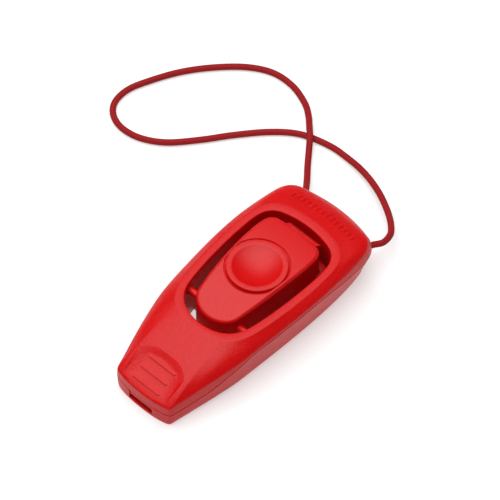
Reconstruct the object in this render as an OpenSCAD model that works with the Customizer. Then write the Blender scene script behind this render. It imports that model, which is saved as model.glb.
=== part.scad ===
// Combined pea-less whistle and clicker trainer with an elastic wrist cord.
// Millimetres. X runs along the body: mouthpiece at -X, cord end at +X. Z is up.
// The origin is at the middle of the underside of the body, cord left out.

/* [Body] */
// Length of the body over mouthpiece and cord end
body_l = 84.4; // [80:0.1:88]
// Width of the body at its widest
body_w = 37.6; // [36:0.1:42]
// Height of the flat rim round the window above the underside
rim_z = 16.9; // [16.5:0.1:17.5]
// Wall thickness of the window well
well_wall = 1.4; // [1.2:0.1:1.6]
// Thickness of the floor of the lower shell
floor_t = 1.6; // [1.4:0.1:2]

/* [Button] */
// Height of the raised ring on the button above the underside
ring_z = 20; // [19.8:0.1:20.6]
// Outer diameter of the raised ring
ring_d = 18.1; // [17:0.1:18.6]
// Diameter of the thumb dish
dish_d = 14.8; // [13:0.1:15]
// Depth of the thumb dish
dish_depth = 1.7; // [1.2:0.1:2]
// Diameter of the two trunnion pegs
peg_d = 3.2; // [2.8:0.1:3.4]
// Radial clearance of a peg in its bearing
peg_gap = 0.06; // [0.04:0.01:0.1]

/* [Click reed] */
// Width of the spring steel reed
reed_w = 12; // [10:0.5:13]
// Thickness of the spring steel reed
reed_t = 0.3; // [0.2:0.05:0.4]
// Height of the reed's underside above the underside of the body
reed_z = 5; // [4.8:0.1:5.2]

/* [Whistle] */
// Width of the blowing slot
slot_w = 9; // [8:0.1:10]
// Height of the blowing slot
slot_h = 1.8; // [1.4:0.1:2]
// Thickness of the lower lip under the slot
lip_t = 1.0; // [0.8:0.1:1.2]

/* [Screws and cord] */
// Thread diameter of the shell screws
screw_d = 2.2; // [2:0.1:2.4]
// Head diameter of the shell screws
screw_head_d = 4; // [3.8:0.1:4.2]
// Diameter of the elastic cord
cord_d = 2; // [1.8:0.1:2.1]
// Diameter of the two cord holes
cord_hole_d = 2.3; // [2.2:0.1:2.6]

/* [Hidden] */

body_red = [0.80, 0.06, 0.08];
cord_red = [0.60, 0.05, 0.09];
steel = [0.75, 0.76, 0.78];

// Scales from the nominal outline to the driving length and width
sx = body_l / 84.4;
sy = body_w / 37.6;
far = 60;             // longer than the body, for cutting tools
eps = 0.01;

// Half outlines as chained cubic curves, from the -X end to the +X end on the +Y side.
// Widest outline of the body, at the seam between the shells
seam_path = [[-42.2, 0], [-42.2, 3.7], [-41.9, 7.0], [-41.2, 9.5],
             [-41.0, 10.2], [-40.7, 10.6], [-40.1, 10.8], [-31.3, 13.1],
             [-21.3, 16.1], [-15.3, 16.8], [-8.3, 17.6], [4.7, 18.8],
             [14.7, 18.8], [21.7, 18.8], [28.7, 18.5], [33.9, 17.6],
             [37.4, 17.0], [39.6, 15.2], [40.3, 12.5], [41.6, 8.3],
             [42.2, 4.0], [42.2, 0]];
// Shoulder line, where the sides turn over into the top
shoulder_path = [[-42.2, 0], [-42.2, 3.7], [-41.9, 6.9], [-41.2, 9.4],
                 [-41.0, 10.0], [-40.7, 10.4], [-40.1, 10.6], [-31.3, 13.0],
                 [-21.3, 16.0], [-15.3, 16.7], [-8.3, 17.5], [4.7, 18.7],
                 [14.7, 18.7], [21.7, 18.7], [27.9, 18.3], [32.9, 17.3],
                 [36.2, 16.6], [38.2, 14.9], [38.7, 12.5], [39.4, 8.3],
                 [39.7, 4.0], [39.7, 0]];
// Outer edge of the flat rim round the window
rim_path = [[-19.3, 0], [-19.3, 2.5], [-19.0, 5.0], [-18.4, 7.0],
            [-18.2, 7.7], [-17.9, 8.2], [-17.7, 8.7],
            [-16.6, 11.0], [-13.8, 12.9], [-11.3, 13.7],
            [-7.3, 15.0], [4.7, 16.2], [12.7, 16.2],
            [17.2, 16.2], [21.2, 16.1], [24.2, 15.1],
            [26.7, 14.3], [28.7, 12.2], [29.6, 9.5],
            [30.4, 6.9], [30.8, 3.5], [30.8, 0]];
// Flat of the underside
base_path = [[-42, 0], [-42.0, 3.8], [-41.7, 6.9], [-41.0, 9.0],
             [-40.8, 9.6], [-40.4, 10.0], [-39.8, 10.1], [-31.3, 11.4],
             [-21.3, 12.5], [-15.3, 12.7], [-8.3, 12.9], [4.7, 13.0],
             [14.7, 13.0], [21.7, 13.0], [26.7, 12.6], [30.2, 11.8],
             [32.7, 11.2], [34.1, 9.8], [34.7, 7.9], [35.6, 5.0],
             [36.1, 2.5], [36.1, 0]];
// Window through the upper shell
window_path = [[-17.4, 0], [-17.4, 5.2], [-15.2, 9.7], [-10.3, 11.3],
               [-6.3, 12.6], [5.7, 13.8], [13.7, 13.8],
               [16.7, 13.8], [19.7, 13.8], [21.9, 13.3],
               [24.7, 12.6], [26.3, 10.8], [27.0, 8.4],
               [27.7, 6.0], [28.2, 3.0], [28.2, 0]];
// Top edge of the button
button_path = [[-14.4, 0], [-14.4, 3.6], [-12.3, 7.0], [-9.3, 7.6],
               [-2.3, 9.0], [7.7, 10.1], [14.7, 10.2],
               [16.7, 10.3], [19.1, 10.2], [20.7, 9.9],
               [22.3, 9.6], [23.3, 8.6], [23.5, 7.0],
               [23.8, 4.8], [24.0, 2.4], [24.0, 0]];

// Height of the shoulder line and of the seam, by place along the body
shoulder_z = [[-42.2, 8.1], [-37.3, 9.1], [-29.3, 11.0], [-21.3, 12.4], [-13.3, 13.8],
              [-1.3, 14.5], [10.7, 14.9], [18.7, 14.8], [26.7, 14.2], [39.7, 14]];
seam_z = [[-42, 4.8], [-37.3, 5.4], [-29.3, 6.8], [-25.3, 8.1], [-21.3, 9.9],
          [-17.3, 11.4], [-13.3, 12.6], [-5.3, 13.1], [6.7, 13.4], [14.7, 13.4],
          [22.7, 12.2], [30.7, 11.0], [42, 10]];
// Share of the way from seam outline to base outline that the draft takes up
draft_share = [[-42.2, 0.1], [-13.3, 0.3], [42, 0.3]];
edge_r = 3.6;         // height of the rounding round the underside

button_axis = [-9.3 * sx, 0, 13.2];   // centre line of the trunnion pegs
button_mid_x = 6.7 * sx;              // centre of the thumb dish
crest_x = 9.7 * sx;                   // highest place of the button's arched top
crest_z = ring_z - 0.4;
crest_r = 125;                        // radius of the arched top, in side view
button_bottom_z = 10;                 // lower edge of the button over the clamp
skirt_z = 7.0;                        // lower edge of its skirt beside the reed
skirt_end_x = 19 * sx;
hollow_top_z = 15.4;
lip_x = [22.6 * sx, 25.8 * sx];       // low lip along the far edge of the button
lip_y = [-7.3 * sy, 4.6 * sy];
lip_z = [15.8, 18.2];
button_wall = 2;
nub_d = 5;                            // pusher under the button that works the reed
nub_tip_r = nub_d;                    // radius of the pusher's domed tip
peg_reach = 13.3 * sy;                // how far each peg reaches from the middle
ring_base_z = crest_z - 0.5;
moat_w = 0.7;                         // width of the groove round the raised ring
moat_sink = 0.1;                      // how far the groove goes below the ring's base

reed_far_x = 26.4 * sx;
reed_l = 31;
nose_r = 0.6;                         // round nose of the shelf, over which the reed bends
nose_axis = [19.8 * sx, 0, reed_z - nose_r];
shelf_floor_z = 1.6;
clamp_w = 18.4;
clamp_h = 2.1;
clamp_l = 6.4;
tail_room = 0.5;                      // height left over the reed's tail under the clamp
tail_hole_d = 2.8;
tail_peg_d = 2;
clamp_screw_x = 23.2 * sx;
clamp_screw_y = 7.6;
clamp_screw_d = 1.4;
clamp_head_d = 2.4;
clamp_head_h = 0.6;
nub_gap = 0.2;                        // between pusher and reed at rest
bite = 0.1;                           // how much smaller a pilot hole is than its screw

windway_l = 12.8;                     // length of the whistle's air channel
insert_x = -41.8 * sx;                // front face of the whistle insert
insert_roof_z = 4.8;
chamber_l = 9.6;
voice_l = 5;                          // length of the sounding gap in the underside
windway_end_x = insert_x + windway_l;

boss_d = 5.4;
near_boss = [-19.8 * sx, 10 * sy];
far_boss = [34.4 * sx, 5.4 * sy];
head_recess_d = screw_head_d + 0.6;
head_recess_z = 2.2;
screw_head_h = 1.3;
screw_l = 11;

cord_exit = [39.2 * sx, 13 * sy, 7.5];
ferrule_d = 3.2;
ferrule_l = 4.5;
ferrule_gap = 0.2;                    // clearance of a ferrule in its pocket
ferrule_x = 33.2 * sx;                // inner end of each ferrule
cord_start_x = ferrule_x + ferrule_l;

// Route of the cord's middle line, from the left hole round to the right hole
cord_route = [[cord_start_x, cord_exit.y, 7.5], [39.5, 13.0, 7.5], [41.5, 13.3, 6.9],
              [43.8, 15.1, 5.0], [48.1, 18.6, 2.9], [51.9, 21.9, 1.6], [55.5, 24.8, 1.6],
              [58.3, 27.0, 2.6], [60.4, 28.8, 3.2], [62.6, 31.0, 2.7], [66.3, 34.8, 1.4],
              [69.1, 39.0, 1.0], [71.2, 45.8, 1.0], [70.8, 53.3, 1.0], [67.0, 60.5, 1.0],
              [60.1, 67.7, 1.0], [52.0, 73.8, 1.0], [43.0, 78.4, 1.0], [36.6, 80.6, 1.0],
              [30.9, 80.2, 1.0], [27.1, 77.2, 1.0], [25.4, 72.1, 1.0], [26.4, 65.6, 1.0],
              [30.5, 58.8, 1.0], [37.9, 52.2, 1.0], [45.9, 46.2, 1.0], [53.4, 39.8, 1.0],
              [58.4, 34.0, 1.0], [60.9, 28.8, 1.0], [62.5, 21.8, 1.1], [62.5, 16.0, 1.4],
              [61.9, 10.5, 2.0], [60.5, 4.9, 2.7], [58.3, -0.7, 3.4], [55.8, -5.4, 4.0],
              [53.3, -9.2, 4.6], [50.7, -12.2, 5.2], [48.0, -14.2, 5.9], [44.2, -14.9, 6.8],
              [41.4, -13.7, 7.4], [39.5, -13.0, 7.5], [cord_start_x, -cord_exit.y, 7.5]];
cord_sides = 8;
cord_ring_step = 5;   // one ring of the tube about every 5 mm of route

// Point on a cubic curve
function bez(p, t) = pow(1 - t, 3) * p[0] + 3 * t * pow(1 - t, 2) * p[1]
    + 3 * t * t * (1 - t) * p[2] + t * t * t * p[3];
// Half outline of a chained path, n points to a curve
function half(path, n) = [
    for (k = [0 : 3 : len(path) - 4]) for (i = [0 : n - 1])
        bez([path[k], path[k + 1], path[k + 2], path[k + 3]], i / n),
    path[len(path) - 1]];
// Whole outline: the half and its mirror image, scaled to the driving sizes
function whole(path, n) = let (h = half(path, n), m = len(h))
    [for (p = h) [p.x * sx, p.y * sy], for (i = [m - 2 : -1 : 1]) [h[i].x * sx, -h[i].y * sy]];
function mix(a, b, t) = a * (1 - t) + b * t;
function unit(v) = v / norm(v);
// Outline moved outwards by d
function grown(pts, d) = let (m = len(pts)) [
    for (i = [0 : m - 1])
        let (t = unit(pts[(i + 1) % m] - pts[(i + m - 1) % m])) pts[i] + d * [-t.y, t.x]];
function at_z(pts, table, dz) = [for (p = pts) [p.x, p.y, lookup(p.x / sx, table) + dz]];

// Closed solid through a stack of rings, lowest first, with flat ends
module ring_stack(rings) {
    n = len(rings[0]);
    last = (len(rings) - 1) * n;
    points = [for (r = rings) each r];
    sides = [for (k = [0 : len(rings) - 2]) for (i = [0 : n - 1])
        let (a = k * n + i, b = k * n + (i + 1) % n)
        each [[a, b, b + n], [a, b + n, a + n]]];
    faces = concat(sides, [[for (i = [n - 1 : -1 : 0]) i]], [[for (i = [0 : n - 1]) last + i]]);
    polyhedron(points, faces);
}

// Outer form of both shells together
module body_skin() {
    n = 5;
    seam = whole(seam_path, n);
    base = whole(base_path, n);
    shoulder = at_z(whole(shoulder_path, n), shoulder_z, 0);
    rim = [for (p = whole(rim_path, n)) [p.x, p.y, rim_z]];
    wall_foot = [for (i = [0 : len(seam) - 1])
        let (p = mix(seam[i], base[i], lookup(seam[i].x / sx, draft_share))) [p.x, p.y]];
    function foot(a) = [for (i = [0 : len(seam) - 1])
        let (p = mix(wall_foot[i], base[i], 1 - cos(a))) [p.x, p.y, edge_r * (1 - sin(a))]];
    widest = at_z(seam, seam_z, -0.35);
    turn = [for (i = [0 : len(seam) - 1])
        let (plan = mix([shoulder[i].x, shoulder[i].y], seam[i], 0.75),
             overhang = norm([shoulder[i].x, shoulder[i].y] - seam[i]))
        [plan.x, plan.y, mix(shoulder[i].z, widest[i].z, 0.5) + 0.15 * overhang]];
    crown = [for (i = [0 : len(seam) - 1])
        let (p = mix(shoulder[i], rim[i], 0.5)) p + [0, 0, 0.04 * norm(shoulder[i] - rim[i])]];
    ring_stack([foot(90), foot(60), foot(30), foot(0), widest, turn, shoulder, crown, rim]);
}

// Everything above the seam
module above_seam() {
    line = [for (p = seam_z) [p.x * sx, p.y]];
    last = len(line) - 1;
    translate([0, far / 2, 0]) rotate([90, 0, 0]) linear_extrude(far)
        polygon(concat([[-far, line[0].y]], line, [[far, line[last].y], [far, far], [-far, far]]));
}

module window_cut(extra) {
    linear_extrude(far, center = true) polygon(grown(whole(window_path, 6), extra));
}

module along_y(d, length) {
    rotate([90, 0, 0]) cylinder(d = d, h = length, center = true, $fn = 48);
}

module each_side() {
    children();
    mirror([0, 1, 0]) children();
}

// Hollow behind the window that takes the ends of the cord
module cord_chamber() {
    translate([0, 0, floor_t]) linear_extrude(12.4 - floor_t)
        polygon([[30.4 * sx, -14.2 * sy], [34.6 * sx, -14.9 * sy], [37.3 * sx, -12.4 * sy],
                 [38.8 * sx, -4 * sy], [38.8 * sx, 4 * sy], [37.3 * sx, 12.4 * sy],
                 [34.6 * sx, 14.9 * sy], [30.4 * sx, 14.2 * sy]]);
}

// Resonance chamber of the whistle, above and behind the sounding gap
module whistle_chamber() {
    translate([windway_end_x, -slot_w / 2, floor_t])
        cube([chamber_l, slot_w, 8.2 - floor_t]);
}

// Bearings that both shells leave for the button's pegs
module peg_bearings() {
    translate(button_axis) along_y(peg_d + 2 * peg_gap, 2 * peg_reach + 0.6);
}

// Shelf with a round nose that the reed lies on
module reed_shelf() {
    translate([nose_axis.x, -far / 2, shelf_floor_z]) cube([far, far, reed_z - shelf_floor_z]);
    translate([nose_axis.x - nose_r, -far / 2, shelf_floor_z])
        cube([far, far, nose_axis.z - shelf_floor_z]);
    translate(nose_axis) along_y(2 * nose_r, far);
}

// Pocket for a ferrule behind its cord hole, open to the seam
module ferrule_pocket() {
    width = ferrule_d + 2 * ferrule_gap;
    translate([ferrule_x - 1, cord_exit.y, cord_exit.z]) {
        rotate([0, 90, 0]) cylinder(d = width, h = ferrule_l + 1 + ferrule_gap, $fn = 48);
        translate([0, -width / 2, 0]) cube([ferrule_l + 1 + ferrule_gap, width, far]);
    }
}

// Upright cylinder between two heights
module post(place, d, z0, z1) {
    translate([place.x, place.y, z0]) cylinder(d = d, h = z1 - z0, $fn = 48);
}

// Recessed bite pad with its three bars, on the slope of the mouthpiece
module bite_pad(raise) {
    translate([-41.7 * sx, 0, 8.2]) rotate([0, -26, 0]) translate([0, 0, -0.35 + raise])
        children();
}

module upper_shell() color(body_red) {
    difference() {
        intersection() {
            body_skin();
            above_seam();
        }
        window_cut(0);
        peg_bearings();
        difference() {
            cord_chamber();
            each_side() post(far_boss, boss_d, 0, rim_z);
        }
        whistle_seat();
        each_side() for (place = [near_boss, far_boss])
            post(place, screw_d - bite, 0, head_recess_z + screw_l);
        bite_pad(0) translate([0.8, -8.2, 0]) cube([11.5, 16.4, 3]);
    }
    bite_pad(-0.3) for (i = [0 : 2])
        translate([1.2 + 3.5 * i, -5.1, 0]) cube([0.7, 10.2, 0.65]);
}

// Seat that both shells leave for the whistle insert
module whistle_seat() {
    translate([-far, -slot_w / 2, lip_t]) cube([far + windway_end_x, slot_w, insert_roof_z - lip_t]);
}

module lower_shell() color(body_red) {
    difference() {
        body_skin();
        above_seam();
        // the window goes on through the lower shell, up to the shelf
        difference() {
            window_cut(0.2);
            reed_shelf();
        }
        peg_bearings();
        difference() {
            cord_chamber();
            each_side() post(far_boss, boss_d, 0, rim_z);
        }
        whistle_seat();
        whistle_chamber();
        // sounding gap, open to the underside, with a slanted lip behind it
        translate([0, slot_w / 2, 0]) rotate([90, 0, 0]) linear_extrude(slot_w)
            polygon([[windway_end_x, -1], [windway_end_x + voice_l + 1.8, -1],
                     [windway_end_x + voice_l, floor_t + eps], [windway_end_x, floor_t + eps]]);
        each_side() for (place = [near_boss, far_boss]) {
            post(place, head_recess_d, -1, head_recess_z);
            post(place, screw_d + 0.3, -1, far);
        }
        each_side() ferrule_pocket();
        each_side() translate([cord_exit.x, cord_exit.y, cord_exit.z]) rotate([0, 90, 0])
            cylinder(d = cord_hole_d, h = 8, center = true, $fn = 48);
        each_side() post([clamp_screw_x, clamp_screw_y], clamp_screw_d - bite,
                                 shelf_floor_z + 0.4, far);
    }
}

// Side view of the button: an arched top over a lower edge with one step
module button_side_view() {
    intersection() {
        translate([crest_x, crest_z - crest_r]) circle(r = crest_r, $fn = 720);
        polygon([[-15 * sx, skirt_z], [skirt_end_x, skirt_z], [skirt_end_x, button_bottom_z],
                 [25 * sx, button_bottom_z], [25 * sx, 22], [-15 * sx, 22]]);
    }
}

module click_button() color(body_red) {
    outline = whole(button_path, 6);
    difference() {
        union() {
            intersection() {
                linear_extrude(far) polygon(outline);
                translate([0, far / 2, 0]) rotate([90, 0, 0]) linear_extrude(far) button_side_view();
            }
            post([button_mid_x, 0], ring_d, ring_base_z - 1, ring_z);
            translate([lip_x[0], lip_y[0], lip_z[0]])
                cube([lip_x[1] - lip_x[0], lip_y[1] - lip_y[0], lip_z[1] - lip_z[0]]);
            // trunnion pegs
            translate(button_axis) along_y(peg_d, 2 * peg_reach);
        }
        // hollow underside, left solid round the pegs
        translate([0, 0, skirt_z - eps]) linear_extrude(hollow_top_z - skirt_z + eps)
            intersection() {
                polygon(grown(outline, -button_wall));
                translate([-6 * sx, -far / 2]) square([far, far]);
            }
        // shallow moat round the ring
        translate([button_mid_x, 0, ring_base_z - moat_sink]) difference() {
            cylinder(d = ring_d + 2 * moat_w, h = 3, $fn = 96);
            translate([0, 0, -1]) cylinder(d = ring_d, h = 6, $fn = 96);
        }
        // thumb dish
        dish_r = (pow(dish_d / 2, 2) + pow(dish_depth, 2)) / (2 * dish_depth);
        translate([button_mid_x, 0, ring_z - dish_depth + dish_r]) sphere(r = dish_r, $fn = 128);
    }
    // pusher under the dish with a domed tip over the reed
    tip_z = reed_z + reed_t + nub_gap;
    translate([button_mid_x, 0, tip_z]) rotate_extrude($fn = 48)
        polygon([[0, ring_base_z - 2.4 - tip_z], for (a = [0 : 5 : 30])
            nub_tip_r * [sin(a), 1 - cos(a)], [nub_d / 2, ring_base_z - 2.4 - tip_z]]);
}

// Spring steel strip with the dimple that snaps through and makes the click
module click_reed() color(steel) {
    dimple_r = 12;
    difference() {
        translate([reed_far_x - reed_l, -reed_w / 2, reed_z]) cube([reed_l, reed_w, reed_t]);
        post([clamp_screw_x, 0], tail_hole_d, 0, far);
        translate([button_mid_x, 0, reed_z + reed_t + dimple_r - 0.12])
            sphere(r = dimple_r, $fn = 96);
    }
}

// Bridge over the reed's tail, with a peg through the hole in the tail
module reed_clamp() color(body_red) {
    near_x = reed_far_x - clamp_l;
    difference() {
        translate([near_x, -clamp_w / 2, reed_z]) cube([clamp_l, clamp_w, clamp_h]);
        translate([near_x - 1, -reed_w / 2 - 0.2, reed_z - 1])
            cube([clamp_l + 2, reed_w + 0.4, reed_t + tail_room + 1]);
        each_side() post([clamp_screw_x, clamp_screw_y], clamp_screw_d + 0.2, 0, far);
    }
    post([clamp_screw_x, 0], tail_peg_d, reed_z, reed_z + clamp_h);
}

// Self-tapping screw standing point up, head at the bottom, cross recess in the head
module screw_up(d, head_d, head_h, length, recess) {
    difference() {
        union() {
            cylinder(d = head_d, h = head_h, $fn = 48);
            translate([0, 0, head_h - eps]) cylinder(d = d, h = length - d / 2, $fn = 36);
            translate([0, 0, head_h + length - d / 2 - 2 * eps]) rotate_extrude($fn = 36)
                polygon([[0, 0], [d / 2, 0], [0.2, d / 2], [0, d / 2]]);
        }
        for (turn = [0, 90]) rotate(turn)
            translate([-head_d * 0.3, -recess / 2, -eps]) cube([head_d * 0.6, recess, head_h * 0.6]);
    }
}

module clamp_screws() color(steel) {
    each_side() translate([clamp_screw_x, clamp_screw_y, reed_z + clamp_h + clamp_head_h])
        rotate([180, 0, 0]) screw_up(clamp_screw_d, clamp_head_d, clamp_head_h, 4.8, 0.4);
}

module shell_screws() color(steel) {
    each_side() for (place = [near_boss, far_boss])
        translate([place.x, place.y, head_recess_z - screw_head_h])
            screw_up(screw_d, screw_head_d, screw_head_h, screw_l, 0.7);
}

// Roof of the whistle's air channel, held between the shells
module whistle_insert() color(body_red) {
    translate([insert_x, -slot_w / 2, lip_t + slot_h])
        cube([windway_l, slot_w, insert_roof_z - lip_t - slot_h]);
}

// Crimped sleeve that stops one end of the cord behind its hole
module ferrule(side) color(steel) {
    translate([ferrule_x, side * cord_exit.y, cord_exit.z]) rotate([0, 90, 0])
        cylinder(d = ferrule_d, h = ferrule_l, $fn = 36);
}

module cord_ferrule_left() ferrule(1);
module cord_ferrule_right() ferrule(-1);

// Smooth curve through the route's points
function spline_at(p, k, t) = let (a = p[max(k - 1, 0)], b = p[k], c = p[k + 1],
    d = p[min(k + 2, len(p) - 1)])
    0.5 * (2 * b + (c - a) * t + (2 * a - 5 * b + 4 * c - d) * t * t
        + (3 * b - a - 3 * c + d) * t * t * t);
function resampled(p) = [
    for (k = [0 : len(p) - 2])
        let (steps = max(1, round(norm(p[k + 1] - p[k]) / cord_ring_step)))
        for (i = [0 : steps - 1]) spline_at(p, k, i / steps),
    p[len(p) - 1]];

// Plain tube swept along the route
module wrist_cord() color(cord_red) {
    path = resampled(cord_route);
    m = len(path);
    rings = [for (i = [0 : m - 1])
        let (t = i == 0 || i == m - 1 ? [1, 0, 0] * (i == 0 ? 1 : -1)
                 : unit(path[i + 1] - path[i - 1]),
             side = unit(cross(t, [0, 0, 1])),
             up = cross(side, t))
        [for (k = [0 : cord_sides - 1])
            let (a = 360 * (k + 0.5) / cord_sides)
            path[i] + cord_d / 2 * (cos(a) * side + sin(a) * up)]];
    ring_stack(rings);
}

upper_shell();
lower_shell();
click_button();
click_reed();
reed_clamp();
clamp_screws();
whistle_insert();
shell_screws();
cord_ferrule_left();
cord_ferrule_right();
wrist_cord();
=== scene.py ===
# %% [markdown]
# # A dog whistle and clicker in red plastic
#
# The real object is a hand-held training aid: a moulded housing in two shells, a rocker button in
# a window, a whistle mouthpiece at one end and a loop of thin elastic cord at the other. The CAD
# model already fixes every size and every joint. This script loads it as a fixed frame and builds
# the looks round it: smooth shells with their real fillets, a braided cord, and plastics that
# catch the light as moulded parts do.

import math

import bmesh
import bpy
import numpy as np
from mathutils import Matrix, Vector


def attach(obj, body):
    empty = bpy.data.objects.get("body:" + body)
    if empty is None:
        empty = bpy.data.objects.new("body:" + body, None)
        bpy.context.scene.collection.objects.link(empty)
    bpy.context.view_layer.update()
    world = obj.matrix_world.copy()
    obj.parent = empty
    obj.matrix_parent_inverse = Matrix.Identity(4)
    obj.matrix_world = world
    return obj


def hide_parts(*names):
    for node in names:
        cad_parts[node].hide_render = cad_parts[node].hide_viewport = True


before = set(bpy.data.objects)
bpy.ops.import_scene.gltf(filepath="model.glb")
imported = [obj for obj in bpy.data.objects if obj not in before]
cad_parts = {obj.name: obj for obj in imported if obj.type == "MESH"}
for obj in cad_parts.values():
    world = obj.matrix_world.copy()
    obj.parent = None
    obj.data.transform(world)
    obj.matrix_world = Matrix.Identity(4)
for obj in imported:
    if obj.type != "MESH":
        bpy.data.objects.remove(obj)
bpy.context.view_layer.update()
MM = 0.001

# %% [markdown]
# ## Camera
#
# Something this small is best seen from far away through a long lens, so that the far end isn't
# smaller than the near one. The camera stands 1.5 m off, turned 47 degrees round the object and 55
# degrees above it, and is aimed a little beside the thumb dish so that the cord fits in.

# %% Place the camera
DISH = Vector((6.7, 0, 20)) * MM
TURN, RISE = math.radians(47.0), math.radians(54.8)
DISTANCE, LENS = 1.5, 378
AIM_RIGHT, AIM_UP = -2.1 * MM, 4.3 * MM

level = Vector((math.sin(TURN), math.cos(TURN), 0))
look = level * math.cos(RISE) - Vector((0, 0, math.sin(RISE)))
right = look.cross(Vector((0, 0, 1))).normalized()
up = right.cross(look)


def put_in_scene(name, data):
    """A new object in the scene, round a mesh, a lamp or a camera."""
    made = bpy.data.objects.new(name, data)
    bpy.context.scene.collection.objects.link(made)
    return made


camera = put_in_scene("camera", bpy.data.cameras.new("camera"))
camera.location = DISH + right * AIM_RIGHT + up * AIM_UP - look * DISTANCE
camera.rotation_mode = "QUATERNION"
camera.rotation_quaternion = look.to_track_quat("-Z", "Y")
camera.data.lens = LENS
camera.data.clip_start, camera.data.clip_end = 0.1, 10
bpy.context.scene.camera = camera
print("camera at", [round(v, 3) for v in camera.location])

# %% [markdown]
# ## A short way to write nodes
#
# Materials and Geometry Nodes are both made of nodes with sockets. Adding every Math node by hand
# hides the formula, so a socket is wrapped in a small class that knows plus, minus, times and
# divide. An expression such as 1 - mask * 0.5 then adds its own Math nodes. Everything that isn't
# plain arithmetic goes through one method, which sets a node's settings first and its sockets
# after.

# %% Wrap a socket and a node tree
class Value:
    """A node's output, which can be used in a formula."""

    def __init__(self, graph, socket):
        self.graph, self.socket = graph, socket

    def other(self, name):
        return Value(self.graph, self.socket.node.outputs[name])

    def math(self, operation, *values):
        return self.graph.add("ShaderNodeMath", {"operation": operation}, dict(enumerate(values)))

    def __add__(self, other):
        return self.math("ADD", self, other)

    def __sub__(self, other):
        return self.math("SUBTRACT", self, other)

    def __rsub__(self, other):
        return self.math("SUBTRACT", other, self)

    def __mul__(self, other):
        return self.math("MULTIPLY", self, other)

    def __truediv__(self, other):
        return self.math("DIVIDE", self, other)

    def __abs__(self):
        return self.math("ABSOLUTE", self)

    __radd__ = __add__
    __rmul__ = __mul__


class Graph:
    """A node tree that nodes are added to, one call each."""

    def __init__(self, tree):
        self.tree = tree

    def feed(self, socket, value):
        if isinstance(value, Value):
            self.tree.links.new(value.socket, socket)
        elif socket.type == "RGBA":
            socket.default_value = (*value[:3], 1)
        else:
            socket.default_value = value

    def add(self, kind, settings=None, inputs=None, output=0):
        node = self.tree.nodes.new(kind)
        for name, value in (settings or {}).items():
            if name == "stops":
                for place, colour in value:
                    stop = node.color_ramp.elements.new(place)
                    stop.color = (*colour, 1)
                node.color_ramp.elements.remove(node.color_ramp.elements[0])
                node.color_ramp.elements.remove(node.color_ramp.elements[-1])
            else:
                setattr(node, name, value)
        for key, value in (inputs or {}).items():
            self.feed(node.inputs[key], value)
        return Value(self, node.outputs[output])


# %% [markdown]
# ## Finishes
#
# A shader is a recipe for a surface. Each one below starts from the Principled shader. What is the
# same all over is set on the shader's own sockets, and only what varies from place to place is
# linked. Patterns read Object coordinates, which are metres here, so a grain of a quarter of a
# millimetre needs a scale of about four thousand.

# %% A base for every finish
class Finish(Graph):
    """A material with helpers for grain and colour."""

    def __init__(self, name, **constants):
        self.material = bpy.data.materials.new(name)
        self.material.use_nodes = True
        super().__init__(self.material.node_tree)
        self.shader = self.tree.nodes["Principled BSDF"]
        for socket, value in constants.items():
            self.feed(self.shader.inputs[socket.replace("_", " ")], value)
        self.place = self.add("ShaderNodeTexCoord", output="Object")

    def vary(self, socket, value):
        self.feed(self.shader.inputs[socket], value)

    def noise(self, grain, detail=2, stretch=(1, 1, 1), output="Fac"):
        """Noise with grains about this many metres across."""
        place = self.add("ShaderNodeMapping", {}, {"Vector": self.place, "Scale": stretch})
        sizes = {"Vector": place, "Scale": 1 / grain, "Detail": detail, "Roughness": 0.55}
        return self.add("ShaderNodeTexNoise", {}, sizes, output)

    def blend(self, factor, first, second):
        return self.add("ShaderNodeMix", {"data_type": "RGBA"},
                        {0: factor, 6: first, 7: second}, 2)

    def raise_by(self, height, depth):
        """Bump the surface by height, where 1 stands for depth in metres."""
        sizes = {"Height": height, "Distance": depth, "Strength": 1.0}
        self.vary("Normal", self.add("ShaderNodeBump", {}, sizes))


# %% [markdown]
# ### Red plastic
#
# The shells come from a mould whose steel was spark eroded, which leaves a fine matt grain. The
# button's mould was blasted finer, so the thumb slides on it. The colour goes right through the
# plastic. Slow changes of a few per cent come from how it flowed into the mould, and the finish is
# a little smoother on one side of such a flow than on the other.

# %% Grained red plastic for the shells and a finer one for the button
PLASTIC_DEEP, PLASTIC_BRIGHT = (0.55, 0.0010, 0.0018), (0.66, 0.0022, 0.0032)


def red_plastic(name, grain, depth, roughness, gloss, tint=1.0):
    finish = Finish(name, IOR=1.49, Specular_IOR_Level=gloss)
    spark = finish.noise(grain, 3)
    flow = finish.noise(7 * MM, 2)
    speckle = finish.noise(grain * 1.3, 1)
    shade = flow * 0.4 + (speckle * 1.8 - 0.6)
    deep = tuple(c * tint for c in PLASTIC_DEEP)
    bright = tuple(c * tint for c in PLASTIC_BRIGHT)
    finish.vary("Base Color", finish.blend(shade, deep, bright))
    finish.vary("Roughness", flow * 0.08 + spark * 0.10 + (roughness - 0.09))
    finish.raise_by(spark, depth)
    return finish.material


SHELL_PLASTIC = red_plastic("grained_red_plastic", 0.50 * MM, 0.10 * MM, 0.39, 0.24)
BUTTON_PLASTIC = red_plastic("fine_red_plastic", 0.40 * MM, 0.035 * MM, 0.38, 0.27)
INNER_PLASTIC = red_plastic("red_inner_plastic", 0.5 * MM, 0.03 * MM, 0.5, 0.3, tint=0.95)
print("plastics:", SHELL_PLASTIC.name, BUTTON_PLASTIC.name, INNER_PLASTIC.name)
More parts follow.
